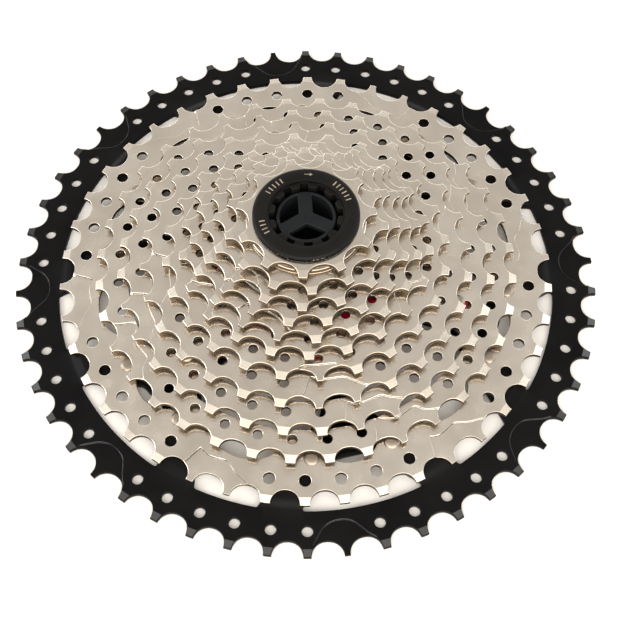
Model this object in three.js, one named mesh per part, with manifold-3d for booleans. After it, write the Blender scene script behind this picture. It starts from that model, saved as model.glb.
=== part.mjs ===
// Twelve-speed bicycle cassette, 11 to 50 teeth, on the plastic core that it ships on.
// Millimetres. The Z axis is the cassette's own axis and points from the largest sprocket
// to the lockring. z = 0 is the plane that the largest sprocket and the core rest on.

import * as THREE from 'three';
import { mergeVertices } from 'three/addons/utils/BufferGeometryUtils.js';
import Module from 'manifold-3d';

const wasm = await Module();
wasm.setup();

// Chain and tooth form
const chainPitch = 12.7;
const rootDepth = 3.9; // pitch circle down to the tooth root, for a 7.75 mm roller
const tipHalfWidth = 1.4;
const seatHalfWidth = 3.6;
const seatRise = 1.3; // height above the root where the roller seat meets the tooth flank

// Stack along the axis
const spacing = 3.56; // from one sprocket to the next
const firstSeat = 0.1; // underside of sprocket number n is at firstSeat + n * spacing
const steelThickness = 1.8;
const ringThickness = 2.0; // the largest sprocket at its teeth
const faceGap = 0.02; // between faces that rest on each other
const fitGap = 0.3; // between pieces that slide inside each other

// Sprockets from the smallest to the largest: number in the stack, teeth, angle of a tooth
// in degrees, and how far the tooth tips rise above the pitch circle
const sprocketList = [
  { place: 11, teeth: 11, phase: 1.6, tipRise: 0.7 },
  { place: 10, teeth: 13, phase: 21.0, tipRise: 0.7 },
  { place: 9, teeth: 15, phase: 23.7, tipRise: 0.7 },
  { place: 8, teeth: 17, phase: 2.4, tipRise: 0.7 },
  { place: 7, teeth: 19, phase: 5.8, tipRise: 0.7 },
  { place: 6, teeth: 21, phase: 10.4, tipRise: 0.7 },
  { place: 5, teeth: 24, phase: 1.5, tipRise: 0.7 },
  { place: 4, teeth: 28, phase: 0.4, tipRise: 0.7 },
  { place: 3, teeth: 32, phase: 0.8, tipRise: 0.7 },
  { place: 2, teeth: 36, phase: 2.2, tipRise: 0.7 },
  { place: 1, teeth: 42, phase: 0.2, tipRise: 1.6 },
  { place: 0, teeth: 50, phase: 0.0, tipRise: 1.4 },
];

// Nine-spline freehub fit
const splineCount = 9;
const boreRadius = 17.5;
const splineRadius = 16.55; // inner end of a sprocket's spline lug
const lugHalfAngle = 6.5; // degrees
const keyHalfAngle = 4.0; // the one narrow lug that sets the turn of the stack
const coreClearAngle = 1.2; // extra half-width of the core's grooves

// Riveted joints
const armCount = 6;
const carrierArmCount = 3;
const rivetShank = 1.8;
const rivetHole = 2.4;
const rivetHead = 2.75;
const headHeight = 0.75;
const ringRivetRadius = 70.4;
const ringRivetSpread = 11.0; // degrees either side of an arm's middle
const outerRivetRadius = 54.0;
const innerRivetRadius = 35.0;

// Angles of the arms, degrees
const ringArmAngle = 38.6;
const discRivetAngle = 38.6;
const carrierArmAngle = 98.6;

// Largest sprocket
const ringInner = 87.3;
const armTop = firstSeat + spacing - faceGap;
const armBottom = 0.8;
const armWidth = 12.5;
const armFork = 56.0; // radius where an arm splits in two
const webReach = 69.8; // the web between the two branches ends here
const webWidth = 11.0;
const padReach = 13.0; // a branch is full height this far past its rivet
const branchReach = 19.0; // and joins the ring this far past it
const hubRadius = 25.0;
const hubBottom = 2.0;

// Lightening holes in the two largest sprockets
const lightHole = 1.9;
const lightHoleDepth = 7.2; // from the pitch circle in to the hole circle

// Inner edge of the 42-tooth sprocket, with a domed notch over each arm and each window
const plateInner = 62.0;
const notchReach = 73.4;
const notchHalfWidths = [11.0, 14.0]; // over an arm, over a window
const notchCount = 12;

// Inner edges of the three ring-shaped middle sprockets
const rimInner36 = 62.0;
const rimInner32 = 53.4;
const rimInner28 = 41.2;

// Windows of the 21-tooth sprocket
const windowInner = 22.3;
const windowOuter = 33.5;
const windowHalfAngle = 15.0; // degrees
const windowAngle = 60.0;

// Carrier
const carrierTop = firstSeat + 6 * spacing - faceGap;
const carrierHub = 26.0;
const carrierCollar = 31.0; // the wider upper end of the hub, inside the 24-tooth sprocket
const carrierDisc = 38.5;
const carrierReach = 57.6;
const carrierArmWidth = 8.0;

// Loose rings
const spacerOuter = 21.0;
const bossOuter = 19.8;

// Lockring
const lockringTop = 43.0;
const lockringRadius = 17.65;
const lockringFace = 16.9; // radius of its flat top, inside the bevel
const knurlHeight = 0.5;
const threadRadius = 15.25;
const threadEnd = 34.6;
const toolMajor = 12.2;
const toolMinor = 10.4;
const toolTeeth = 12;
const toolLugInner = 7.2; // degrees, half-width of a lug at its inner end
const toolLugOuter = 8.7;
const washerThickness = 0.6;

// Shipping core
const coreTop = 40.4;
const coreBore = 15.6;
const coreInner = 15.2;
const coreShoulder = 31.0;
const coreShoulderThickness = 2.0;
const coreFlange = 21.0;
const coreFlangeThickness = 1.8;
const neckRadius = 9.95;
const neckInner = 8.7;
const neckTop = 40.7;
const spokeThickness = 2.2;
const spokeWidth = 4.8;

// Roundness of turned shapes
const roundSteps = 24;
const ringSteps = 48;
const rivetSteps = 6;

function finish(color, roughness, metalness) {
  return new THREE.MeshStandardMaterial({ color, roughness, metalness });
}

const steel = finish(0xc4b9a6, 0.35, 1.0);
const blackAlloy = finish(0x1d1c1d, 0.5, 0.4);
const redAlloy = finish(0x7a0a14, 0.35, 0.8);
const blackSteel = finish(0x26241f, 0.45, 0.5);
const plastic = finish(0x2a2b2c, 0.6, 0.0);
const spacerAlloy = finish(0x9a9a98, 0.4, 0.9);

// ---- Small helpers ----

const radians = (degrees) => (degrees * Math.PI) / 180;

function polar(radius, angle) {
  return new THREE.Vector2(radius * Math.cos(angle), radius * Math.sin(angle));
}

function seat(place) {
  return firstSeat + place * spacing;
}

function pitchRadius(teeth) {
  return chainPitch / (2 * Math.sin(Math.PI / teeth));
}

// Regular outline of a hole, its corners on the radius
function circlePath(radius, steps, centre = new THREE.Vector2()) {
  const points = [];
  for (let step = 0; step < steps; step += 1) {
    points.push(polar(radius, (step * 2 * Math.PI) / steps).add(centre));
  }
  return points;
}

function extrude(outline, holes, bottom, top) {
  const shape = new THREE.Shape(outline);
  shape.holes = holes.map((points) => new THREE.Path(points));
  const geometry = new THREE.ExtrudeGeometry(shape, { depth: top - bottom, bevelEnabled: false });
  geometry.translate(0, 0, bottom);
  return geometry;
}

// Solid of revolution about Z from a closed list of [radius, z] corners
function turned(corners, steps = roundSteps) {
  const profile = corners.map(([radius, z]) => new THREE.Vector2(radius, z));
  profile.push(profile[0].clone());
  const geometry = new THREE.LatheGeometry(profile, steps);
  geometry.rotateX(Math.PI / 2);
  return geometry;
}

function toSolid(geometry) {
  const bare = geometry.clone();
  bare.deleteAttribute('normal');
  bare.deleteAttribute('uv');
  const merged = mergeVertices(bare, 1e-4);
  const source = new wasm.Mesh({
    numProp: 3,
    vertProperties: new Float32Array(merged.attributes.position.array),
    triVerts: new Uint32Array(merged.index.array),
  });
  return new wasm.Manifold(source);
}

function toGeometry(solid) {
  const result = solid.getMesh();
  const geometry = new THREE.BufferGeometry();
  geometry.setAttribute('position', new THREE.BufferAttribute(result.vertProperties, 3));
  geometry.setIndex(new THREE.BufferAttribute(result.triVerts, 1));
  geometry.computeVertexNormals();
  return geometry;
}

function joined(geometries) {
  const solids = geometries.map(toSolid);
  return solids.reduce((whole, solid) => whole.add(solid));
}

// ---- Outlines ----

// Five corners for each tooth: its two tip corners, then the roller seat behind it
function toothOutline({ teeth, phase, tipRise }) {
  const pitch = pitchRadius(teeth);
  const root = pitch - rootDepth;
  const tip = pitch + tipRise;
  const step = (2 * Math.PI) / teeth;
  const points = [];
  for (let tooth = 0; tooth < teeth; tooth += 1) {
    const middle = radians(phase) + tooth * step;
    const seatMiddle = middle + step / 2;
    points.push(polar(tip, middle - tipHalfWidth / tip));
    points.push(polar(tip, middle + tipHalfWidth / tip));
    points.push(polar(root + seatRise, seatMiddle - seatHalfWidth / pitch));
    points.push(polar(root, seatMiddle));
    points.push(polar(root + seatRise, seatMiddle + seatHalfWidth / pitch));
  }
  return points;
}

// Splined circle: low stretches at the lugs, high stretches between them
function splineOutline(high, low, extraHalfAngle = 0) {
  const period = 360 / splineCount;
  const points = [];
  for (let spline = 0; spline < splineCount; spline += 1) {
    const half = (spline === 0 ? keyHalfAngle : lugHalfAngle) + extraHalfAngle;
    const nextHalf = (spline === splineCount - 1 ? keyHalfAngle : lugHalfAngle) + extraHalfAngle;
    const middle = spline * period;
    const start = middle + half;
    const end = middle + period - nextHalf;
    points.push(polar(low, radians(middle - half)));
    points.push(polar(low, radians(middle + half)));
    for (let part = 0; part <= 2; part += 1) {
      points.push(polar(high, radians(start + ((end - start) * part) / 2)));
    }
  }
  return points;
}

const boreOutline = () => splineOutline(boreRadius, splineRadius);

// Round inner edge with a domed notch at each given angle, reaching out to the given radius.
// The half-widths are used in turn.
function notchedOutline(inner, reach, halfWidths, angles) {
  const points = [];
  const domeSteps = 6;
  angles.forEach((angle, index) => {
    const middle = radians(angle);
    const halfWidth = halfWidths[index % halfWidths.length];
    for (let step = 0; step <= domeSteps; step += 1) {
      const turn = Math.PI * (1 - step / domeSteps);
      const radius = inner + (reach - inner) * Math.sin(turn);
      points.push(polar(radius, middle + (halfWidth / reach) * Math.cos(turn)));
    }
    points.push(polar(inner, middle + Math.PI / angles.length));
  });
  return points;
}

// Inner edge of a rim with a lug at each given angle, reaching in to the rivets
function luggedOutline(rim, lugEnd, lugHalfWidth, angles) {
  const sorted = [...angles].sort((a, b) => a - b);
  const points = [];
  sorted.forEach((angle, index) => {
    const middle = radians(angle);
    const next = radians(index + 1 < sorted.length ? sorted[index + 1] : sorted[0] + 360);
    const rimHalf = (lugHalfWidth * 1.5) / rim;
    points.push(polar(rim, middle - rimHalf));
    points.push(polar(lugEnd, middle - lugHalfWidth / lugEnd));
    points.push(polar(lugEnd, middle + lugHalfWidth / lugEnd));
    points.push(polar(rim, middle + rimHalf));
    const span = next - middle - 2 * rimHalf;
    const parts = Math.round(span / radians(10));
    for (let part = 1; part < parts; part += 1) {
      points.push(polar(rim, middle + rimHalf + (span * part) / parts));
    }
  });
  return points;
}

// Angles in degrees spread evenly round the axis
function evenAngles(first, count) {
  return Array.from({ length: count }, (_, number) => (first + (number * 360) / count) % 360);
}

const everyArm = (first) => evenAngles(first, armCount);

const ringRivetAngles = everyArm(ringArmAngle).flatMap((angle) => [
  (angle - ringRivetSpread + 360) % 360,
  (angle + ringRivetSpread) % 360,
]);

const discRivetAngles = everyArm(discRivetAngle);
const carrierArmAngles = evenAngles(carrierArmAngle, carrierArmCount);

// Solid drill for each hole outline
function drilled(holes, bottom, top) {
  return holes.map((hole) => toSolid(extrude(hole, [], bottom, top)));
}

function rivetHoles(radius, angles) {
  return angles.map((angle) => circlePath(rivetHole, rivetSteps, polar(radius, radians(angle))));
}

// One small hole behind each tooth, except where leaveOut says that a shift ramp is
function lightHoles({ teeth, phase }, leaveOut) {
  const holes = [];
  for (let tooth = 0; tooth < teeth; tooth += 1) {
    if (!leaveOut(tooth)) {
      const angle = radians(phase + (tooth * 360) / teeth);
      holes.push(circlePath(lightHole, 6, polar(pitchRadius(teeth) - lightHoleDepth, angle)));
    }
  }
  return holes;
}

// ---- Sprockets ----

const sprocket = (teeth) => sprocketList.find((entry) => entry.teeth === teeth);

// A flat sprocket of one plate
function plate(entry, holes) {
  const bottom = seat(entry.place);
  return extrude(toothOutline(entry), holes, bottom, bottom + steelThickness);
}

const looseSprocket = (entry) => plate(entry, [boreOutline()]);

// One window between two arcs, its middle at the given angle in degrees
function arcWindow(angle) {
  const points = [];
  const arcSteps = 4;
  for (let step = 0; step <= arcSteps; step += 1) {
    points.push(polar(windowOuter, radians(angle + windowHalfAngle * ((2 * step) / arcSteps - 1))));
  }
  for (let step = 0; step <= arcSteps; step += 1) {
    points.push(polar(windowInner, radians(angle + windowHalfAngle * (1 - (2 * step) / arcSteps))));
  }
  return points;
}

const sprocket21 = () => plate(sprocket(21), [boreOutline(), ...everyArm(windowAngle).map(arcWindow)]);

// The two smallest sprockets carry their own spacer boss on the underside
function bossedSprocket(entry) {
  const bottom = seat(entry.place);
  const bossBottom = bottom - spacing + steelThickness + faceGap;
  const boss = extrude(circlePath(bossOuter, roundSteps), [boreOutline()], bossBottom, bottom);
  return toGeometry(joined([plate(entry, [boreOutline()]), boss]));
}

function sprocket24() {
  const entry = sprocket(24);
  const centre = circlePath(carrierCollar + fitGap + 0.1, roundSteps);
  return plate(entry, [centre, ...rivetHoles(innerRivetRadius, discRivetAngles)]);
}

function sprocket28() {
  const inner = luggedOutline(rimInner28, innerRivetRadius - 4.2, 5.0, discRivetAngles);
  return plate(sprocket(28), [inner, ...rivetHoles(innerRivetRadius, discRivetAngles)]);
}

function sprocket32() {
  const inner = luggedOutline(rimInner32, outerRivetRadius - 8.5, 5.0, carrierArmAngles);
  return plate(sprocket(32), [inner, ...rivetHoles(outerRivetRadius, carrierArmAngles)]);
}

function sprocket36() {
  const inner = luggedOutline(rimInner36, outerRivetRadius - 4.2, 4.5, carrierArmAngles);
  return plate(sprocket(36), [inner, ...rivetHoles(outerRivetRadius, carrierArmAngles)]);
}

function sprocket42() {
  const entry = sprocket(42);
  const notchAngles = evenAngles(ringArmAngle, notchCount);
  const inner = notchedOutline(plateInner, notchReach, notchHalfWidths, notchAngles);
  const holes = lightHoles(entry, (tooth) => tooth % 7 < 2);
  return plate(entry, [inner, ...rivetHoles(ringRivetRadius, ringRivetAngles), ...holes]);
}

// A straight bar between two points, wide in the XY plane
function bar(from, to, width, bottom, top) {
  const side = to.clone().sub(from).normalize().rotateAround(new THREE.Vector2(), Math.PI / 2);
  side.multiplyScalar(width / 2);
  const outline = [
    from.clone().sub(side),
    to.clone().sub(side),
    to.clone().add(side),
    from.clone().add(side),
  ];
  return extrude(outline, [], bottom, top);
}

// Forked arms: a stem from the hub, then two branches out past the rivets to the ring
function forkedArms() {
  const bars = [];
  everyArm(ringArmAngle).forEach((angle) => {
    const fork = polar(armFork, radians(angle));
    const web = polar(webReach, radians(angle));
    bars.push(bar(polar(hubRadius - 3, radians(angle)), fork, armWidth, armBottom, armTop));
    bars.push(bar(fork, web, webWidth, armBottom, armTop));
    [-1, 1].forEach((side) => {
      const rivet = polar(ringRivetRadius, radians(angle + side * ringRivetSpread));
      const outward = rivet.clone().sub(fork).normalize();
      const start = fork.clone().addScaledVector(outward, -armWidth / 2);
      const padEnd = rivet.clone().addScaledVector(outward, padReach);
      const end = rivet.clone().addScaledVector(outward, branchReach);
      bars.push(bar(start, padEnd, armWidth, armBottom, armTop));
      bars.push(bar(start, end, armWidth, armBottom, ringThickness));
    });
  });
  return bars;
}

function sprocket50() {
  const entry = sprocket(50);
  const rampTeeth = [0, 6, 13, 19, 25, 31, 38, 44];
  const holes = lightHoles(entry, (tooth) => rampTeeth.includes(tooth));
  const ring = extrude(toothOutline(entry), [circlePath(ringInner, ringSteps), ...holes], 0, ringThickness);
  const hub = extrude(circlePath(hubRadius, roundSteps), [], hubBottom, seat(1) + steelThickness);
  const body = joined([ring, hub, ...forkedArms()]);
  const bore = toSolid(extrude(boreOutline(), [], -1, seat(2)));
  const drills = drilled(rivetHoles(ringRivetRadius, ringRivetAngles), -1, seat(2));
  const recess = toSolid(extrude(circlePath(coreFlange + 1, roundSteps), [], -1, hubBottom));
  const cut = [bore, recess, ...drills].reduce((solid, tool) => solid.subtract(tool), body);
  return toGeometry(cut);
}

// ---- Carrier for the four middle sprockets ----

function carrier() {
  const lowerArms = { bottom: seat(2) + steelThickness + faceGap, top: seat(3) - faceGap };
  const upperDisc = { bottom: seat(4) + steelThickness + faceGap, top: seat(5) - faceGap };
  const gussetBottom = seat(1) + steelThickness + 1;
  const pieces = [
    extrude(circlePath(carrierHub, roundSteps), [], seat(1) + steelThickness + faceGap, carrierTop),
    extrude(circlePath(carrierDisc, roundSteps), [], upperDisc.bottom, upperDisc.top),
    extrude(circlePath(carrierCollar, roundSteps), [], upperDisc.bottom, carrierTop),
  ];
  carrierArmAngles.forEach((angle) => {
    const root = polar(carrierHub - 3, radians(angle));
    const tip = polar(carrierReach, radians(angle));
    const gusset = polar(outerRivetRadius - 6, radians(angle));
    pieces.push(bar(root, tip, carrierArmWidth, lowerArms.bottom, lowerArms.top));
    pieces.push(bar(root, gusset, carrierArmWidth - 3, gussetBottom, lowerArms.bottom + 0.5));
  });
  const cuts = [
    toSolid(extrude(boreOutline(), [], 0, carrierTop + 1)),
    ...drilled(rivetHoles(outerRivetRadius, carrierArmAngles), 0, lowerArms.top + 1),
    ...drilled(rivetHoles(innerRivetRadius, discRivetAngles), upperDisc.bottom - 1, carrierTop),
  ];
  return toGeometry(cuts.reduce((solid, tool) => solid.subtract(tool), joined(pieces)));
}

// ---- Fasteners and loose rings ----

// A rivet with a raised head above and a flat head below the plates that it holds
function rivet(bottom, top, footHeight = headHeight) {
  const under = bottom - faceGap;
  const over = top + faceGap;
  return turned(
    [
      [0, under - footHeight],
      [rivetHead, under - footHeight],
      [rivetHead, under],
      [rivetShank, under],
      [rivetShank, over],
      [rivetHead, over],
      [0, over + headHeight],
    ],
    rivetSteps,
  );
}

function ring(inner, outer, bottom, top) {
  return turned([
    [inner, bottom],
    [outer, bottom],
    [outer, top],
    [inner, top],
  ]);
}

// Spacer between the sprocket at the given place and the next smaller one
function spacerAbove(place) {
  const bottom = seat(place) + steelThickness + faceGap;
  return ring(boreRadius + 0.1, spacerOuter, bottom, seat(place + 1) - faceGap);
}

// ---- Lockring ----

const washerBottom = seat(11) + steelThickness + faceGap;
const flangeBottom = washerBottom + washerThickness + faceGap;

function washer() {
  return ring(threadRadius + fitGap, lockringFace, washerBottom, washerBottom + washerThickness);
}

// Inner edge with twelve notches for the tightening tool
function toolOutline() {
  const points = [];
  const period = (2 * Math.PI) / toolTeeth;
  for (let tooth = 0; tooth < toolTeeth; tooth += 1) {
    const middle = (tooth + 0.5) * period;
    points.push(polar(toolMajor, middle - radians(toolLugOuter)));
    points.push(polar(toolMinor, middle - radians(toolLugInner)));
    points.push(polar(toolMinor, middle + radians(toolLugInner)));
    points.push(polar(toolMajor, middle + radians(toolLugOuter)));
  }
  return points;
}

function lockring() {
  const lugTop = lockringTop - 0.9;
  const body = turned([
    [toolMajor + 0.4, threadEnd],
    [threadRadius, threadEnd],
    [threadRadius, flangeBottom],
    [lockringRadius, flangeBottom],
    [lockringRadius, flangeBottom + knurlHeight],
    [lockringFace, lockringTop],
    [toolMajor + 0.4, lockringTop],
  ]);
  const teeth = extrude(circlePath(toolMajor + 1, roundSteps), [toolOutline()], threadEnd, lugTop);
  return toGeometry(joined([body, teeth]));
}

// ---- Shipping core ----

function shippingCore() {
  const disc = (radius, bottom, top) => toSolid(extrude(circlePath(radius, roundSteps), [], bottom, top));
  const splines = splineOutline(boreRadius - fitGap, splineRadius - fitGap, coreClearAngle);
  const shell = toSolid(extrude(splines, [], 0, coreTop))
    .add(disc(coreFlange, 0, coreFlangeThickness))
    .subtract(disc(coreInner, -1, coreShoulder - coreShoulderThickness))
    .subtract(disc(coreBore, coreShoulder, coreTop + 1))
    .add(disc(neckRadius, coreShoulder - 1, neckTop))
    .subtract(disc(neckInner, coreShoulder - 4, neckTop + 1));
  const spokes = [90, 210, 330].map((angle) => {
    const rim = polar(neckInner + 0.5, radians(angle));
    return toSolid(bar(new THREE.Vector2(), rim, spokeWidth, neckTop - spokeThickness, neckTop));
  });
  return toGeometry(spokes.reduce((whole, spoke) => whole.add(spoke), shell));
}

// ---- Assembly ----

const cassette = new THREE.Group();

function place(name, geometry, material, position = new THREE.Vector2()) {
  const mesh = new THREE.Mesh(geometry, material);
  mesh.name = name;
  mesh.position.set(position.x, position.y, 0);
  cassette.add(mesh);
}

const specialSprockets = {
  21: sprocket21,
  24: sprocket24,
  28: sprocket28,
  32: sprocket32,
  36: sprocket36,
  42: sprocket42,
  50: sprocket50,
};

function placeSprockets() {
  sprocketList.forEach((entry) => {
    const { teeth } = entry;
    const usual = teeth < 15 ? bossedSprocket : looseSprocket;
    const make = specialSprockets[teeth] ?? usual;
    place(`sprocket_${teeth}t`, make(entry), teeth === 50 ? blackAlloy : steel);
  });
}

function placeRivets() {
  const label = (index) => String(index + 1).padStart(2, '0');
  ringRivetAngles.forEach((angle, index) => {
    const geometry = rivet(armBottom, seat(1) + steelThickness, 0.7);
    place(`ring_rivet_${label(index)}`, geometry, steel, polar(ringRivetRadius, radians(angle)));
  });
  carrierArmAngles.forEach((angle, index) => {
    const outer = rivet(seat(2), seat(3) + steelThickness);
    place(`carrier_outer_rivet_${label(index)}`, outer, steel, polar(outerRivetRadius, radians(angle)));
  });
  discRivetAngles.forEach((angle, index) => {
    const inner = rivet(seat(4), seat(5) + steelThickness);
    place(`carrier_inner_rivet_${label(index)}`, inner, steel, polar(innerRivetRadius, radians(angle)));
  });
}

placeSprockets();
placeRivets();
place('carrier', carrier(), redAlloy);
[6, 7, 8].forEach((number) => {
  const upper = sprocketList.find((entry) => entry.place === number + 1).teeth;
  place(`spacer_below_${upper}t`, spacerAbove(number), spacerAlloy);
});
place('lockring_washer', washer(), spacerAlloy);
place('lockring', lockring(), blackSteel);
place('shipping_core', shippingCore(), plastic);

export default cassette;
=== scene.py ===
import math

import bpy
import numpy as np
from mathutils import Matrix, Vector
from mathutils.geometry import delaunay_2d_cdt


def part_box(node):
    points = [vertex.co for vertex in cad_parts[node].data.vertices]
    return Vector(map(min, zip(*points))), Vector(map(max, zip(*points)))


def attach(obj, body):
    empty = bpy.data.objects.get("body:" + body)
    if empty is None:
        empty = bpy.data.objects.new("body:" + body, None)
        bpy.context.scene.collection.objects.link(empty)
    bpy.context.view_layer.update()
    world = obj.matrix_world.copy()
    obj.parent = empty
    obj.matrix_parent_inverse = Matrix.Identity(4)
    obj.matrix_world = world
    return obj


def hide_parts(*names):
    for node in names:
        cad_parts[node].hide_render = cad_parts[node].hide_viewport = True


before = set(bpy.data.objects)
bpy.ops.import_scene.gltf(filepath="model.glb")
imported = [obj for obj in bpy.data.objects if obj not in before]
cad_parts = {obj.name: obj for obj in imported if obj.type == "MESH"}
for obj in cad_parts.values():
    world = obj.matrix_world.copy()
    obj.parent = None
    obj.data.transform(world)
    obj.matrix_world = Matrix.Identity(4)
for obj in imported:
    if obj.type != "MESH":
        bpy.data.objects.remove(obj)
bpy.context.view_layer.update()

# Looks of a twelve-speed bicycle cassette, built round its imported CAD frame.
# Shapes are worked out in millimetres in the row frame. new_piece() turns them into metres.

MM = 0.001

# ---- Driving dimensions, millimetres and degrees ----

CHAIN_PITCH = 12.7
PLATE = 1.8  # thickness of a steel sprocket
FIT_GAP = 0.3  # between the core and the splined bores
CLEARANCE = 0.02  # between two pieces that rest on each other

TIP_HEIGHT = 0.6  # over the pitch circle
ROOT_DEPTH = 3.6  # below it
# By teeth: angle of tooth 0, half-width of a tip, hole circle below the pitch circle, hole radius
COGS = {
    11: dict(phase=1.6, half=1.45),
    13: dict(phase=21.0, half=1.45),
    15: dict(phase=23.7, half=1.5, drop=6.8, hole=1.5),
    17: dict(phase=2.4, half=1.5, drop=6.7, hole=1.5),
    19: dict(phase=5.8, half=1.5, drop=6.9, hole=1.5),
    21: dict(phase=10.4, half=1.55, drop=6.7, hole=1.6),
    24: dict(phase=1.5, half=1.55, drop=7.1, hole=1.6),
    28: dict(phase=0.4, half=1.6, drop=7.9, hole=1.7),
    32: dict(phase=0.8, half=1.6, drop=7.4, hole=1.7),
    36: dict(phase=2.2, half=1.6, drop=7.4, hole=1.7),
    42: dict(phase=0.2, half=1.6, drop=6.8, hole=2.0, tip=1.5, root=3.4),
    50: dict(phase=0.0, half=1.3, drop=7.2, hole=1.85, tip=1.35, root=3.9),
}

GAP_POWER = 2.15  # fullness of the rounded gap between two teeth
SIDE_STEPS = 10  # points on one side of a gap
TIP_BEVEL = 2.6  # length of the sloping flat on a tooth's tip
TIP_DROP = 0.42  # how far that flat drops
NARROW_SHARE = 0.72  # width of a tooth in a ramp, as a share of a full tooth
# Profile across the edge of a shift ramp: distance from its curve, share of its depth
RAMP_PROFILE = ((-0.12, 0.0), (-0.04, 0.09), (0.09, 0.91), (0.14, 1.0))

ARM_COUNT = 6
RING_ARM = 38.6  # angle of the first arm of the largest sprocket
RING_RIVET = 70.4
RING_SPREAD = 11.0
DISC_RIVET = 38.6  # angle of the first rivet of the carrier's disc
CARRIER_ARM = 98.6
CARRIER_ARMS = 3
OUTER_RIVET = 54.0
INNER_RIVET = 35.0
RIVET_HOLE = 2.15

BORE = 17.5
SPLINE = 16.6
SPLINE_COUNT = 9
SPLINE_HALF = 6.5  # half-angle of a spline, degrees
NARROW_SPLINE_HALF = 4.0  # of the first spline, which sets the sprockets' turn


# ---- Plane geometry ----


def polar(radius, degrees):
    angle = math.radians(degrees)
    return (radius * math.cos(angle), radius * math.sin(angle))


def circle(radius, steps, centre=(0.0, 0.0)):
    points = []
    for step in range(steps):
        x, y = polar(radius, 360 * step / steps)
        points.append((x + centre[0], y + centre[1]))
    return points


def evenly(first, count):
    return [first + 360 * number / count for number in range(count)]


def oriented(loop, counterclockwise):
    points = np.asarray(loop, float)
    x, y = points[:, 0], points[:, 1]
    area = np.sum(x * np.roll(y, -1) - np.roll(x, -1) * y)
    return points if (area > 0) == counterclockwise else points[::-1].copy()


def left_normals(directions):
    lengths = np.maximum(np.hypot(directions[:, 0], directions[:, 1]), 1e-9)
    return np.stack([-directions[:, 1], directions[:, 0]], axis=1) / lengths[:, None]


def inset(loop, distance):
    """The closed loop moved to its left, with mitred corners."""
    before = left_normals(loop - np.roll(loop, 1, axis=0))
    after = left_normals(np.roll(loop, -1, axis=0) - loop)
    shared = np.maximum(1 + np.sum(before * after, axis=1), 0.5)
    return loop + distance * (before + after) / shared[:, None]


def offset_line(line, distance):
    """An open line moved to its left."""
    steps = np.gradient(line, axis=0)
    return line + distance * left_normals(steps)


def fillet(corners, radii, steps=6):
    """Closed polygon with each corner rounded to its own radius."""
    points = []
    count = len(corners)
    for index in range(count):
        corner = Vector(corners[index])
        back = Vector(corners[index - 1]) - corner
        ahead = Vector(corners[(index + 1) % count]) - corner
        angle = back.angle(ahead)
        reach = radii[index] / max(math.tan(angle / 2), 1e-6)
        reach = min(reach, 0.48 * back.length, 0.48 * ahead.length)
        if radii[index] <= 0 or angle > 3.1:
            points.append(tuple(corner))
            continue
        start = corner + back.normalized() * reach
        end = corner + ahead.normalized() * reach
        for step in range(steps + 1):
            t = step / steps
            point = start * (1 - t) ** 2 + corner * (2 * t * (1 - t)) + end * t**2
            points.append(tuple(point))
    return points


def smooth_curve(points, steps=6):
    """Catmull-Rom curve through the points."""
    padded = [points[0], *points, points[-1]]
    curve = []
    for index in range(1, len(padded) - 2):
        a, b, c, d = (np.asarray(p, float) for p in padded[index - 1:index + 3])
        for step in range(steps):
            t = step / steps
            curve.append(
                0.5 * (2 * b + (c - a) * t + (2 * a - 5 * b + 4 * c - d) * t**2
                       + (3 * b - a - 3 * c + d) * t**3)
            )
    curve.append(np.asarray(points[-1], float))
    return np.array(curve)


def smooth_step(value, low, high):
    share = np.clip((value - low) / (high - low), 0, 1)
    return share * share * (3 - 2 * share)


def in_blocks(function, points, size=400):
    parts = [function(points[i:i + size]) for i in range(0, len(points), size)]
    return np.concatenate(parts) if parts else np.zeros(0)


def is_inside(points, starts, ends):
    """Which points lie inside the region that the closed edges bound."""
    x0, y0, x1, y1 = starts[:, 0], starts[:, 1], ends[:, 0], ends[:, 1]
    rise = np.where(y1 == y0, 1e-12, y1 - y0)

    def block(part):
        x, y = part[:, :1], part[:, 1:]
        crosses = (y0 > y) != (y1 > y)
        return (crosses & (x < (x1 - x0) * (y - y0) / rise + x0)).sum(axis=1) % 2 == 1

    return in_blocks(block, points).astype(bool)


def edge_distance(points, starts, ends):
    """Distance from each point to the nearest of the edges."""
    along = ends - starts
    squared = np.maximum(np.sum(along**2, axis=1), 1e-12)

    def block(part):
        offsets = part[:, None, :] - starts
        t = np.clip(np.sum(offsets * along, axis=2) / squared, 0, 1)
        gaps = offsets - t[:, :, None] * along
        return np.sqrt(np.min(np.sum(gaps**2, axis=2), axis=1))

    return in_blocks(block, points)


def loop_edges(loops):
    starts = np.concatenate(loops)
    ends = np.concatenate([np.roll(loop, -1, axis=0) for loop in loops])
    return starts, ends


# ---- Meshes ----

SHARP_ANGLE = 38.0  # edges that turn more than this aren't smoothed


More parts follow.
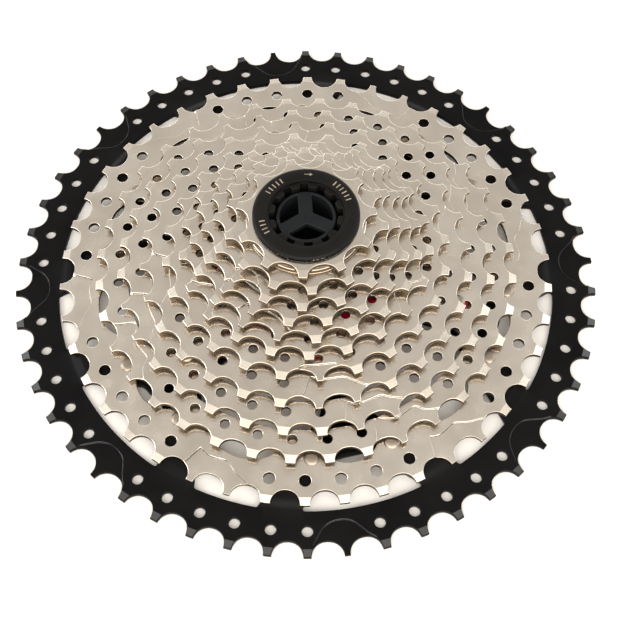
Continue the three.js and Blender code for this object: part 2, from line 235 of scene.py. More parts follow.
class Shell:
    """Collects the vertices and faces of one piece, in millimetres."""

    def __init__(self):
        self.points = []
        self.faces = []
        self.materials = []
        self.creases = set()

    def add_points(self, flat, levels):
        first = len(self.points)
        self.points.extend((x, y, z) for (x, y), z in zip(flat.tolist(), levels.tolist()))
        return list(range(first, len(self.points)))

    def add_face(self, corners, material=0):
        self.faces.append(corners)
        self.materials.append(material)

    def bridge(self, lower, upper, material=0):
        """A strip of quads between two rows of a closed loop."""
        count = len(lower)
        for i in range(count):
            j = (i + 1) % count
            self.add_face((lower[i], lower[j], upper[j], upper[i]), material)

    def crease(self, row):
        for i, start in enumerate(row):
            end = row[(i + 1) % len(row)]
            self.creases.add((min(start, end), max(start, end)))

    def cap(self, rows, height, sharp_lines=(), soft_lines=(), upwards=True, paint=None):
        """Closes the region inside the rows, with extra lines drawn on its surface."""
        loops = [np.array([self.points[i][:2] for i in row]) for row in rows]
        starts, ends = loop_edges(loops)
        flat = [point for loop in loops for point in loop.tolist()]
        known = [i for row in rows for i in row]
        edges = []
        first = 0
        for row in rows:
            edges += [(first + i, first + (i + 1) % len(row)) for i in range(len(row))]
            first += len(row)
        first_sharp = len(edges)
        for line in sharp_lines:
            draw(line, starts, ends, flat, edges)
        first_soft = len(edges)
        for line in soft_lines:
            draw(line, starts, ends, flat, edges)
        result = delaunay_2d_cdt([Vector(p) for p in flat], edges, [], 0, 1e-6)
        points, pairs, triangles, sources, pair_sources = result[:5]
        placed = np.array([tuple(p) for p in points])
        corners = np.array(triangles)
        kept = corners[is_inside(placed[corners].mean(axis=1), starts, ends)]
        levels = height(placed)
        index = []
        for number, source in enumerate(sources):
            match = next((s for s in source if s < len(known)), None)
            if match is None:
                index.append(len(self.points))
                self.points.append((*placed[number], float(levels[number])))
            else:
                index.append(known[match])
        for (a, b), source in zip(pairs, pair_sources):
            if any(first_sharp <= edge < first_soft for edge in source):
                self.creases.add((min(index[a], index[b]), max(index[a], index[b])))
        kinds = paint(placed[kept].mean(axis=1)) if paint else [0] * len(kept)
        for (a, b, c), kind in zip(kept.tolist(), kinds):
            ab, ac = placed[b] - placed[a], placed[c] - placed[a]
            rising = ab[0] * ac[1] - ab[1] * ac[0] > 0
            order = (a, b, c) if rising == upwards else (a, c, b)
            self.add_face(tuple(index[i] for i in order), int(kind))


def clipped(line, starts, ends, margin=0.06):
    """The runs of a line that lie inside the region and clear of its edges."""
    keep = is_inside(line, starts, ends) & (edge_distance(line, starts, ends) > margin)
    runs, run = [], []
    for point, good in zip(line, keep):
        if good:
            run.append(point)
        elif run:
            runs.append(np.array(run))
            run = []
    if run:
        runs.append(np.array(run))
    return runs


def draw(line, starts, ends, flat, edges, reach=0.7):
    """Adds the runs of a line to the flat points and edges, tied to the region's own corners."""
    for run in clipped(np.asarray(line, float), starts, ends):
        chain = list(range(len(flat), len(flat) + len(run)))
        flat += run.tolist()
        for end in (0, -1):
            gaps = np.hypot(*(starts - run[end]).T)
            nearest = int(np.argmin(gaps))
            if gaps[nearest] < reach:
                chain.insert(0 if end == 0 else len(chain), nearest)
        edges += list(zip(chain, chain[1:]))


def level(height):
    return lambda points: np.full(len(points), float(height))


def plate(shell, outer, holes, bottom, top, lines=(), soft=(), lower_soft=(), chamfer=0.2, wall=0,
          paint=None):
    """A plate with rounded edges. Its bottom and top are heights, or functions of flat points."""
    bottom, top = (side if callable(side) else level(side) for side in (bottom, top))
    loops = [oriented(outer, True)] + [oriented(hole, False) for hole in holes]
    lows, highs = [], []
    for loop in loops:
        middle, inner = inset(loop, 0.3 * chamfer), inset(loop, chamfer)
        low, high = bottom(inner), top(inner)
        rows = [
            shell.add_points(inner, low),
            shell.add_points(middle, low + 0.3 * chamfer),
            shell.add_points(loop, low + chamfer),
            shell.add_points(loop, high - chamfer),
            shell.add_points(middle, high - 0.3 * chamfer),
            shell.add_points(inner, high),
        ]
        for lower, upper in zip(rows, rows[1:]):
            shell.bridge(lower, upper, wall if lower is rows[2] else 0)
        shell.crease(rows[0])
        shell.crease(rows[-1])
        lows.append(rows[0])
        highs.append(rows[-1])
    shell.cap(highs, top, lines, soft, paint=paint)
    shell.cap(lows, bottom, (), lower_soft, upwards=False)


def lathe(shell, profile, steps, centre=(0.0, 0.0)):
    """A ring or a dome turned about Z from [radius, z] points. Radius 0 closes an end."""
    rows = []
    for radius, z in profile:
        if radius <= 0:
            rows.append(shell.add_points(np.array([centre], float), np.array([z])))
        else:
            ring = np.array(circle(radius, steps, centre))
            rows.append(shell.add_points(ring, np.full(steps, z)))
    closed = all(len(row) > 1 for row in rows)
    for lower, upper in zip(rows, rows[1:] + rows[:1] if closed else rows[1:]):
        if len(lower) > 1 and len(upper) > 1:
            shell.bridge(lower, upper)
            continue
        ring = upper if len(lower) == 1 else lower
        tip = lower[0] if len(lower) == 1 else upper[0]
        for i in range(len(ring)):
            j = (i + 1) % len(ring)
            corners = (ring[j], ring[i], tip) if len(lower) == 1 else (ring[i], ring[j], tip)
            shell.add_face(corners)


def add_object(name, data):
    added = bpy.data.objects.new(name, data)
    bpy.context.scene.collection.objects.link(added)
    return added


def heights(node):
    """Lowest and highest Z of a CAD node, in millimetres."""
    low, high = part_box(node)
    return low.z / MM, high.z / MM


def new_piece(name, shell, materials, body, nodes):
    """Turns a shell into an object that rides on a body and stands for its CAD nodes."""
    mesh = bpy.data.meshes.new(name)
    mesh.from_pydata((np.array(shell.points) * MM).tolist(), [], shell.faces)
    mesh.validate()
    mesh.set_sharp_from_angle(angle=math.radians(SHARP_ANGLE))
    mesh.polygons.foreach_set("use_smooth", [True] * len(mesh.polygons))
    mark_creases(mesh, shell.creases)
    for material in materials:
        mesh.materials.append(material)
    if len(materials) > 1:
        mesh.polygons.foreach_set("material_index", shell.materials)
    piece = add_object(name, mesh)
    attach(piece, body)
    if nodes:
        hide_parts(*nodes)


def mark_creases(mesh, creases):
    """Keeps the given edges sharp under smooth shading."""
    if not creases:
        return
    attribute = mesh.attributes.get("sharp_edge")
    if attribute is None:
        attribute = mesh.attributes.new("sharp_edge", "BOOLEAN", "EDGE")
    for edge in mesh.edges:
        key = (min(edge.vertices), max(edge.vertices))
        if key in creases:
            attribute.data[edge.index].value = True


# ---- Materials ----

GRAIN_DEPTH = 0.00002  # metres


def new_material(name):
    material = bpy.data.materials.new(name)
    material.use_nodes = True
    return material, material.node_tree


def noise(tree, scale, detail=3.0):
    """A noise texture in the piece's own space, so that it moves with the piece."""
    place = tree.nodes.new("ShaderNodeTexCoord")
    texture = tree.nodes.new("ShaderNodeTexNoise")
    texture.inputs["Scale"].default_value = scale
    texture.inputs["Detail"].default_value = detail
    tree.links.new(place.outputs["Object"], texture.inputs["Vector"])
    return texture.outputs["Fac"]


def ramp(tree, source, stops):
    """A colour ramp with two stops, each (position, value or colour)."""
    node = tree.nodes.new("ShaderNodeValToRGB")
    for element, (position, value) in zip(node.color_ramp.elements, stops):
        colour = value if isinstance(value, tuple) else (value, value, value)
        element.position = position
        element.color = (*colour, 1.0)
    tree.links.new(source, node.inputs["Fac"])
    return node.outputs["Color"]


def bumped(tree, shader, height, strength):
    bump = tree.nodes.new("ShaderNodeBump")
    bump.inputs["Strength"].default_value = strength
    bump.inputs["Distance"].default_value = GRAIN_DEPTH
    tree.links.new(height, bump.inputs["Height"])
    tree.links.new(bump.outputs["Normal"], shader.inputs["Normal"])


def surface(name, dark, light, rough, metal, specular=0.5, grain=900.0, bump=0.1, patch=35.0):
    """A finish with patchy colour, uneven gloss and a fine grain."""
    material, tree = new_material(name)
    shader = tree.nodes["Principled BSDF"]
    shader.inputs["Metallic"].default_value = metal
    shader.inputs["Specular IOR Level"].default_value = specular
    colours = ramp(tree, noise(tree, patch, 4.0), [(0.3, dark), (0.7, light)])
    gloss = ramp(tree, noise(tree, patch * 4, 5.0), [(0.3, rough[0]), (0.75, rough[1])])
    tree.links.new(colours, shader.inputs["Base Color"])
    tree.links.new(gloss, shader.inputs["Roughness"])
    bumped(tree, shader, noise(tree, grain, 2.0), bump)
    return material


STEEL = surface("nickel_steel", (0.61, 0.54, 0.45), (0.69, 0.62, 0.53), (0.20, 0.31), 1.0, grain=2400.0,
                bump=0.15)
# Painted shade: the side walls of the steel sprockets, the middle of their ramp edges and the sides of the
# bosses are steel made dark brown, standing in for the shade and dark reflections in the tooth gaps and ramp
# steps.
WALL_SHADE_STEEL = surface("wall_shade_steel", (0.045, 0.029, 0.016), (0.09, 0.062, 0.037), (0.38, 0.5), 1.0, patch=120.0)
RIVET_STEEL = surface("rivet_steel", (0.24, 0.195, 0.15), (0.34, 0.285, 0.23), (0.36, 0.48), 1.0)
BLACK = surface("black_alloy", (0.0022, 0.0020, 0.0020), (0.004, 0.0037, 0.0036), (0.30, 0.40), 0.0,
                specular=0.055, grain=1500.0, bump=0.1)
BLACK_EDGE = surface("black_edge", (0.006, 0.0058, 0.006), (0.011, 0.0105, 0.011), (0.20, 0.28), 0.0,
                     specular=0.5, grain=1500.0, bump=0.05)
RED = surface("red_alloy", (0.55, 0.008, 0.05), (0.65, 0.012, 0.06), (0.25, 0.35), 0.6)
SPACER = surface("spacer_alloy", (0.42, 0.41, 0.39), (0.5, 0.49, 0.47), (0.35, 0.45), 1.0)
LOCK = surface("black_steel", (0.0035, 0.003, 0.0024), (0.006, 0.005, 0.004), (0.40, 0.52), 0.0,
               specular=0.1, grain=1200.0, bump=0.15)
PLASTIC = surface("core_plastic", (0.0042, 0.0046, 0.0051), (0.0072, 0.0078, 0.0084), (0.42, 0.58), 0.0,
                  specular=0.12, grain=420.0, bump=0.35)
MARK = surface("laser_mark", (0.13, 0.10, 0.065), (0.22, 0.175, 0.12), (0.5, 0.6), 0.0, patch=500.0)


# ---- Tooth outline ----


def pitch_radius(teeth):
    return CHAIN_PITCH / (2 * math.sin(math.pi / teeth))


class Cog:
    """One sprocket's tooth form, and where its ramps and holes are."""

    def __init__(self, teeth, ramps=(), narrow=(), holes=()):
        values = COGS[teeth]
        self.teeth = teeth
        self.phase = values["phase"]
        self.pitch = pitch_radius(teeth)
        self.tip = self.pitch + values.get("tip", TIP_HEIGHT)
        self.root = self.pitch - values.get("root", ROOT_DEPTH)
        self.half = math.degrees(values["half"] / self.tip)
        self.hole_circle = self.pitch - values.get("drop", 0.0)
        self.hole = values.get("hole", 0.0)
        self.step = 360 / teeth
        self.narrow = list(narrow)
        self.hole_teeth = holes
        self.ramps = [Ramp(self, *ramp_data) for ramp_data in ramps]

    def angle(self, tooth):
        return self.phase + tooth * self.step

    def tip_half(self, tooth):
        return self.half * (NARROW_SHARE if tooth in self.narrow else 1.0)

    def side(self, tooth, depth_share):
        """Half-angle of a tooth where the gap is at that share of its depth."""
        tip_half = self.tip_half(tooth)
        reach = self.step / 2 - tip_half
        across = (1 - depth_share**GAP_POWER) ** (1 / GAP_POWER)
        return tip_half + reach * (1 - across)

    def outline(self):
        points = []
        for tooth in range(self.teeth):
            middle = self.angle(tooth)
            half = self.tip_half(tooth)
            sides = []
            for step in range(1, SIDE_STEPS + 1):
                turn = math.pi / 2 * step / SIDE_STEPS
                share = math.sin(turn) ** (2 / GAP_POWER)
                radius = self.tip - (self.tip - self.root) * share
                sides.append((radius, self.side(tooth, share)))
            for radius, spread in reversed(sides[:-1]):
                points.append(polar(radius, middle - spread))
            for place in (-1.0, -0.4, 0.4, 1.0):
                points.append(polar(self.tip, middle + place * half))
            for radius, spread in sides:
                points.append(polar(radius, middle + spread))
        return points

    def hole_loops(self):
        angles = [self.angle(tooth) for tooth in self.hole_teeth]
        return [circle(self.hole, 20, polar(self.hole_circle, angle)) for angle in angles]

    def bevel_lines(self):
        radius = self.tip - TIP_BEVEL
        share = TIP_BEVEL / (self.tip - self.root)
        lines = []
        for tooth in range(self.teeth):
            if tooth not in self.narrow:
                half = self.side(tooth, share) - math.degrees(0.4 / radius)
                middle = self.angle(tooth)
                lines.append([polar(radius, middle + place * half) for place in (-1, 0, 1)])
        return lines

    def lines(self):
        return self.bevel_lines() + [line for item in self.ramps for line in item.lines()]

    def bevel_depth(self, points):
        radius = np.hypot(points[:, 0], points[:, 1])
        angle = np.degrees(np.arctan2(points[:, 1], points[:, 0])) - self.phase
        tooth = np.round(angle / self.step).astype(int) % self.teeth
        slope = np.clip((radius - self.tip + TIP_BEVEL) / TIP_BEVEL, 0, 1) * TIP_DROP
        return np.where(np.isin(tooth, self.narrow), 0.0, slope)

    def depth(self, points):
        lowest = self.bevel_depth(points)
        for item in self.ramps:
            lowest = np.maximum(lowest, item.depth(points))
        return lowest

    def ramp_walls(self, points, low=0.12, high=0.86):
        """True where a ramp is between two shares of its depth."""
        wall = np.zeros(len(points), bool)
        for item in self.ramps:
            share = item.share(points)
            wall |= (share > low) & (share < high)
        return wall

    def cut_faces(self, points):
        """True on the bevels of the teeth and on the whole edges of the ramps."""
        return self.ramp_walls(points, 0.03, 0.97) | (self.bevel_depth(points) > 0.02)


class Ramp:
    """A shift ramp: a shallow recess that runs from a curve out past the tooth tips."""

    def __init__(self, cog, curve, deep_start=0.75, deep_end=0.45):
        placed = smooth_curve([np.array(point) for point in curve])
        self.line = np.array([polar(cog.pitch + drop, angle) for angle, drop in placed])
        self.deep = (deep_start, deep_end)
        self.first, self.last = curve[0][0], curve[-1][0]
        beyond = cog.tip + 4
        far = [polar(beyond, angle) for angle in np.linspace(self.last, self.first, 12)]
        self.region = np.concatenate([self.line, np.array(far)])

    def lines(self):
        return [offset_line(self.line, -reach) for reach, _ in RAMP_PROFILE]

    def along(self, points):
        """Angle from the ramp's middle, counted in spans of the ramp."""
        middle = math.radians((self.first + self.last) / 2)
        apart = np.arctan2(points[:, 1], points[:, 0]) - middle
        return ((apart + math.pi) % (2 * math.pi) - math.pi) / math.radians(self.last - self.first)

    def share(self, points):
        """Share of the ramp's depth, 0 outside it and 1 inside."""
        result = np.zeros(len(points))
        near = np.abs(self.along(points)) < 1.0
        close = points[near]
        inside = is_inside(close, *loop_edges([self.region]))
        distance = edge_distance(close, self.line[:-1], self.line[1:])
        result[near] = np.interp(np.where(inside, distance, -distance), *zip(*RAMP_PROFILE))
        return result

    def depth(self, points):
        start, end = self.deep
        along = np.clip(self.along(points) + 0.5, 0, 1)
        return self.share(points) * (start + (end - start) * along)


# ---- Sprockets ----


def spline_loop(high=BORE, low=SPLINE, extra=0.0):
    """The nine-spline bore, or with other radii the core that fits it."""
    corners, radii = [], []
    period = 360 / SPLINE_COUNT
    for spline in range(SPLINE_COUNT):
        half = (NARROW_SPLINE_HALF if spline == 0 else SPLINE_HALF) + extra
        following = (NARROW_SPLINE_HALF if spline == SPLINE_COUNT - 1 else SPLINE_HALF) + extra
        middle = spline * period
        start, end = middle + half, middle + period - following
        corners += [polar(low, middle - half), polar(low, middle), polar(low, middle + half)]
        corners += [polar(high, start + (end - start) * part / 6) for part in range(7)]
        radii += [0.25, 0, 0.25, 0.25, 0, 0, 0, 0, 0, 0.25]
    return fillet(corners, radii, steps=3)


def lugged_loop(rim, reach, half_width, angles, ease=9.0):
    """Inner edge of a rim with a rounded lug at each angle that reaches in to a rivet."""
    points = []
    for angle in range(360):
        apart = min(abs((angle - lug + 180) % 360 - 180) for lug in angles)
        away = math.radians(apart) * rim - half_width
        points.append(polar(reach + (rim - reach) * smooth_step(away, 0, ease), angle))
    return points


def rivet_holes(radius, angles):
    return [circle(RIVET_HOLE, 20, polar(radius, angle)) for angle in angles]


# By teeth: curve of a shift ramp as (angle, height over the pitch circle), how often it repeats
# round the cog, span of degrees without small holes, span with narrow teeth
RAMPS = {
    42: ([(237.0, -2.2), (237.6, -5.0), (238.8, -9.8), (239.6, -9.6), (241.5, -8.8), (244.0, -9.0),
          (246.0, -9.2), (247.6, -8.0), (249.2, -6.2), (251.0, -4.8), (253.4, -2.8)],
         6, (238, 251), (238, 251)),
    36: ([(194.6, -2.2), (195.8, -4.4), (197.4, -10.8), (199.0, -10.0), (203.5, -8.0),
          (207.0, -8.4), (210.0, -8.5), (211.6, -6.0), (213.4, -4.4), (216.0, -2.8)],
         4, (200, 214), (200, 214)),
    32: ([(277.6, -2.0), (278.6, -4.5), (280.2, -9.2), (282.5, -8.4), (286.0, -8.1), (291.5, -8.2),
          (294.0, -6.4), (297.0, -4.2), (299.6, -2.6)], 4, (281, 294), (281, 294)),
    28: ([(264.0, -2.0), (265.6, -5.0), (267.8, -10.2), (271.0, -9.6), (276.0, -9.3), (281.0, -9.0),
          (284.5, -6.8), (288.0, -4.0), (291.5, -2.4)], 4, (269, 285), (269, 285)),
    24: ([(261.5, -1.5), (263.6, -4.2), (266.0, -4.9), (271.5, -5.0), (277.0, -4.9), (279.4, -4.2),
          (281.5, -1.5)], 3, (195, 213), (270, 273)),
    21: ([(196.0, -1.6), (199.0, -4.0), (203.0, -7.6), (208.0, -8.2), (212.0, -6.0), (216.0, -2.0)],
         3, (198, 214), (203, 214)),
    19: ([(224.6, -1.5), (226.6, -4.5), (229.0, -7.8), (238.0, -8.2), (247.0, -7.8), (254.0, -5.4),
          (261.5, -1.8)], 2, (212, 253), (231, 253)),
    17: ([(209.5, -1.5), (212.0, -5.0), (216.0, -7.4), (226.0, -7.8), (238.0, -7.0), (246.0, -1.8)],
         2, (212, 236), (212, 236)),
    15: ([(209.5, -1.5), (213.0, -5.0), (219.0, -6.6), (226.0, -6.0), (235.0, -1.8)],
         2, (190, 240), (210, 234)),
}


def turned(curve, turn):
    return [(angle + turn, height) for angle, height in curve]


def teeth_between(teeth, span, turns):
    """Numbers of the teeth whose angle lies in the span, at any of the turns."""
    first, last = span
    found = []
    for tooth in range(teeth):
        angle = COGS[teeth]["phase"] + tooth * 360 / teeth
        if any((angle - (first + turn)) % 360 <= last - first for turn in turns):
            found.append(tooth)
    return found


def ramped_cog(teeth):
    """A cog whose ramp repeats, with no small holes near each ramp and narrow teeth in it."""
    curve, repeats, bare_span, narrow_span = RAMPS[teeth]
    turns = evenly(0, repeats)
    bare = teeth_between(teeth, bare_span, turns)
    ramps = [(turned(curve, turn),) for turn in turns]
    holes = [tooth for tooth in range(teeth) if tooth not in bare]
    return Cog(teeth, ramps, teeth_between(teeth, narrow_span, turns), holes)


BARE_TEETH_50 = [0, 6, 13, 19, 25, 31, 38, 44]  # these have a ramp and no hole
RAMP_50 = [(-6.2, -2.6), (-5.4, -5.0), (-4.2, -8.0), (-2.4, -10.0), (-0.2, -10.5), (1.8, -9.6),
           (3.2, -7.4), (4.4, -5.0), (5.8, -2.8)]


def cog_50():
    ramps = [(turned(RAMP_50, tooth * 7.2), 0.55, 0.35) for tooth in BARE_TEETH_50]
    holes = [tooth for tooth in range(50) if tooth not in BARE_TEETH_50]
    return Cog(50, ramps, BARE_TEETH_50, holes)


def flat_cog(cog, body, inner, extra_holes=(), boss=None):
    """A steel sprocket of one plate, with its spacer boss if it has one."""
    name = f"sprocket_{cog.teeth}t"
    boss_bottom, top = heights(name)
    bottom = top - PLATE
    shell = Shell()
    holes = [inner, *extra_holes, *cog.hole_loops()]
    # The outer walls and the middle of each ramp edge get the second material, the steel darkened as painted
    # shade.
    plate(
        shell, cog.outline(), holes, bottom, lambda points: top - cog.depth(points),
        cog.lines(), chamfer=0.14, wall=1, paint=cog.ramp_walls,
    )
    if boss:
        plate(shell, circle(boss, 96), [inner], boss_bottom, bottom + 0.1, wall=1)
    new_piece(f"cog_{name}", shell, [STEEL, WALL_SHADE_STEEL], body, [name])


WINDOW_OUTER = 33.5
WINDOW_INNER = 22.3
WINDOW_HALF = 15  # half of a window's angle, degrees
BOSS = 19.8
# By teeth, where rivets go through lugs: inner rim, reach of the lugs, half-width of a lug
RIMS = {36: (62.0, 49.8, 4.5), 32: (53.4, 45.5, 5.0), 28: (41.2, 30.8, 5.0)}
RIM_24 = 31.4
# The 42-tooth sprocket: inner rim, reach of its notches, their half-widths in turn
NOTCHES = (62.0, 73.4, (11.0, 14.0))


def window_loop(angle):
    """One window between two arcs, with rounded corners."""
    outer = [polar(WINDOW_OUTER, angle + WINDOW_HALF * (step / 6 - 1)) for step in range(13)]
    inner = [polar(WINDOW_INNER, angle + WINDOW_HALF * (1 - step / 6)) for step in range(13)]
    radii = [2.5] + [0] * 11 + [2.5]
    return fillet(outer + inner, radii + radii)


def notched_loop(inner, reach, half_widths, angles):
    """Round inner edge with a domed notch at each angle; the half-widths are used in turn."""
    points = []
    spreads = [math.degrees(half_widths[i % len(half_widths)] / reach) for i in range(len(angles))]
    gap = 360 / len(angles)
    for index, (angle, spread) in enumerate(zip(angles, spreads)):
        for step in range(25):
            turn = math.pi * (1 - step / 24)
            radius = inner + (reach - inner) * math.sin(turn) ** 0.8
            points.append(polar(radius, angle + spread * math.cos(turn)))
        flat = gap - spread - spreads[(index + 1) % len(angles)]
        points += [polar(inner, angle + spread + flat * part / 6) for part in range(1, 6)]
    return points


def ring_rivet_angles():
    arms = evenly(RING_ARM, ARM_COUNT)
    return [arm + side * RING_SPREAD for arm in arms for side in (-1, 1)]


def steel_sprockets():
    """The eleven steel sprockets, from the largest to the smallest."""
    arms = evenly(CARRIER_ARM, CARRIER_ARMS)
    disc = evenly(DISC_RIVET, ARM_COUNT)
    ring_holes = rivet_holes(RING_RIVET, ring_rivet_angles())
    outer_holes = rivet_holes(OUTER_RIVET, arms)
    inner_holes = rivet_holes(INNER_RIVET, disc)
    notches = notched_loop(*NOTCHES, evenly(RING_ARM, 2 * ARM_COUNT))
    flat_cog(ramped_cog(42), "large_block", notches, ring_holes)
    for teeth, lugs, holes in ((36, arms, outer_holes), (32, arms, outer_holes), (28, disc, inner_holes)):
        flat_cog(ramped_cog(teeth), "middle_block", lugged_loop(*RIMS[teeth], lugs), holes)
    flat_cog(ramped_cog(24), "middle_block", circle(RIM_24, 120), inner_holes)
    bore = spline_loop()
    windows = [window_loop(angle) for angle in evenly(60.0, ARM_COUNT)]
    flat_cog(ramped_cog(21), "body_21t", bore, windows)
    for teeth in (19, 17, 15):
        flat_cog(ramped_cog(teeth), f"body_{teeth}t", bore)
    for teeth in (13, 11):
        flat_cog(Cog(teeth), f"body_{teeth}t", bore, boss=BOSS)


# ---- Largest sprocket ----

RING_INNER = 87.3
ARM_HALF = 6.25
ARM_FORK = 56.0
WEB_REACH = 69.8  # the web between an arm's two branches ends here
HUB = 25.0
HUB_RECESS = 22.0
RING_TOP = 2.0
ARM_BOTTOM = 0.8
ARM_TOP = 3.64
TOP_SLOPE = (83.4, 87.2)  # the arms slope down to the ring between these radii
BOTTOM_SLOPE = (85.4, 86.6)


def line_meets_circle(point, direction, radius):
    """Where a line from a point leaves a circle about the axis."""
    along = point.dot(direction)
    return point + direction * (-along + math.sqrt(along**2 - point.length_squared + radius**2))


def line_meets_line(first, along_first, second, along_second):
    gap = second - first
    cross = along_first.x * along_second.y - along_first.y * along_second.x
    share = (gap.x * along_second.y - gap.y * along_second.x) / cross
    return first + along_first * share


def arc_points(radius, start, end, steps):
    return [polar(radius, start + (end - start) * step / steps) for step in range(1, steps)]


def turn_from(middle, point):
    """Angle of a point, counted from a middle line."""
    return (math.degrees(math.atan2(point.y, point.x)) - middle + 180) % 360 - 180


def arm_lines(arm, side):
    """Points and directions of an arm's stem and of one of its two branches."""
    along = Vector(polar(1.0, arm))
    fork = Vector(polar(ARM_FORK, arm))
    rivet = Vector(polar(RING_RIVET, arm + side * RING_SPREAD))
    branch = (rivet - fork).normalized()
    across = Vector((-along.y, along.x)) * side
    outward = Vector((-branch.y, branch.x)) * side
    return along, fork, branch, across, outward


def side_window(arm):
    """The large window between this arm and the next one."""
    middle = arm + 30
    along, fork, branch, across, outward = arm_lines(arm, 1)
    hub_corner = line_meets_circle(across * ARM_HALF, along, HUB + 0.5)
    elbow = line_meets_line(across * ARM_HALF, along, fork + outward * ARM_HALF, branch)
    ring_corner = line_meets_circle(fork + outward * ARM_HALF, branch, RING_INNER)
    half = [hub_corner, elbow, ring_corner]
    mirrored = [Vector(polar(p.length, middle - turn_from(middle, p))) for p in reversed(half)]
    ring_turn, hub_turn = turn_from(middle, ring_corner), turn_from(middle, hub_corner)
    ring_arc = arc_points(RING_INNER, middle + ring_turn, middle - ring_turn, 16)
    hub_arc = arc_points(HUB + 0.5, middle - hub_turn, middle + hub_turn, 8)
    corners = [tuple(p) for p in half] + ring_arc + [tuple(p) for p in mirrored] + hub_arc
    radii = [2.0, 8.0, 3.2] + [0] * len(ring_arc) + [3.2, 8.0, 2.0] + [0] * len(hub_arc)
    return fillet(corners, radii, steps=8)


def fork_window(arm):
    """The small window between the two branches of an arm."""
    along, fork, branch, across, outward = arm_lines(arm, 1)
    web = line_meets_line(along * WEB_REACH, across, fork - outward * ARM_HALF, branch)
    corner = line_meets_circle(fork - outward * ARM_HALF, branch, RING_INNER)
    spread, web_spread = turn_from(arm, corner), turn_from(arm, web)
    arc = arc_points(RING_INNER, arm + spread, arm - spread, 10)
    corners = [polar(web.length, arm - web_spread), tuple(web), tuple(corner), *arc]
    corners.append(polar(corner.length, arm - spread))
    radii = [3.0, 3.0, 5.0] + [0] * len(arc) + [5.0]
    return fillet(corners, radii, steps=8)


def ring_top(cog, hub_top):
    def height(points):
        radius = np.hypot(points[:, 0], points[:, 1])
        arm = RING_TOP + (ARM_TOP - RING_TOP) * (1 - smooth_step(radius, *TOP_SLOPE))
        return np.where(radius < HUB + 0.05, hub_top, arm) - cog.depth(points)

    return height


def ring_bottom(points):
    radius = np.hypot(points[:, 0], points[:, 1])
    arm = ARM_BOTTOM * (1 - smooth_step(radius, *BOTTOM_SLOPE))
    return np.where(radius < HUB_RECESS, 2.0, arm)


def largest_sprocket():
    """The black sprocket: toothed ring, forked arms and hub in one piece."""
    cog = cog_50()
    hub_top = heights("sprocket_50t")[1]
    arms = evenly(RING_ARM, ARM_COUNT)
    holes = [spline_loop(), *rivet_holes(RING_RIVET, ring_rivet_angles()), *cog.hole_loops()]
    holes += [side_window(arm) for arm in arms] + [fork_window(arm) for arm in arms]
    steps = [circle(radius, 360) for radius in (83.4, 84.3, 85.3, 86.3, 87.1)]
    hub_steps = [circle(HUB, 120), circle(HUB + 0.1, 120)]
    recess = [circle(HUB_RECESS - 0.05, 120), circle(HUB_RECESS + 0.05, 120)]
    shell = Shell()
    plate(
        shell, cog.outline(), holes, ring_bottom, ring_top(cog, hub_top), cog.lines(),
        steps + hub_steps, recess + [circle(85.3, 180), circle(86.7, 180)], chamfer=0.22,
        paint=cog.cut_faces,
    )
    new_piece("cog_sprocket_50t", shell, [BLACK, BLACK_EDGE], "large_block", ["sprocket_50t"])


# ---- Carrier, rivets and loose rings ----

CARRIER_COLLAR = 26.0
CARRIER_HUB = 27.5
CARRIER_REACH = 57.6
CARRIER_ARM_HALF = 4.0
CARRIER_RIB = (48.0, 26.5, 2.5)  # reach, hub and half-width of the ribs under the arms
CARRIER_DISC = 38.5
CARRIER_RIM = 31.0


def star_loop(reach, hub, half_width, angles):
    """Outline of a hub with a straight arm at each angle."""
    corners, radii = [], []
    for angle in angles:
        along = Vector(polar(1.0, angle))
        across = Vector((-along.y, along.x)) * half_width
        root = math.sqrt(hub**2 - half_width**2)
        right, left = -across, across
        corners += [tuple(right + along * root), tuple(right + along * reach)]
        corners += [tuple(left + along * reach), tuple(left + along * root)]
        radii += [3.0, half_width * 0.9, half_width * 0.9, 3.0]
        spread = math.degrees(math.asin(half_width / hub))
        arc = arc_points(hub, angle + spread, angle + 360 / len(angles) - spread, 16)
        corners += arc
        radii += [0] * len(arc)
    return fillet(corners, radii)


def between(lower_node, upper_node):
    """Bottom and top of what fills the space between two CAD nodes."""
    return heights(lower_node)[1] + CLEARANCE, heights(upper_node)[0] - CLEARANCE


def carrier():
    """The red carrier: collar, long arms with ribs, and disc, round a splined bore."""
    bottom, top = heights("carrier")
    angles = evenly(CARRIER_ARM, CARRIER_ARMS)
    arm_low, arm_high = between("sprocket_36t", "sprocket_32t")
    disc_low, disc_high = between("sprocket_28t", "sprocket_24t")
    bore = spline_loop()
    shell = Shell()
    plate(shell, circle(CARRIER_COLLAR, 120), [bore], bottom, disc_low + 0.2, chamfer=0.3)
    star = star_loop(CARRIER_REACH, CARRIER_HUB, CARRIER_ARM_HALF, angles)
    arm_holes = rivet_holes(OUTER_RIVET, angles)
    plate(shell, star, [bore, *arm_holes], arm_low, arm_high, chamfer=0.3)
    plate(shell, star_loop(*CARRIER_RIB, angles), [bore], bottom + 1.0, arm_low + 0.4, chamfer=0.3)
    disc_holes = rivet_holes(INNER_RIVET, evenly(DISC_RIVET, ARM_COUNT))
    plate(shell, circle(CARRIER_DISC, 160), [bore, *disc_holes], disc_low, disc_high, chamfer=0.3)
    plate(shell, circle(CARRIER_RIM, 140), [bore], disc_high - 0.2, top, chamfer=0.4)
    new_piece("carrier_body", shell, [RED], "middle_block", ["carrier"])


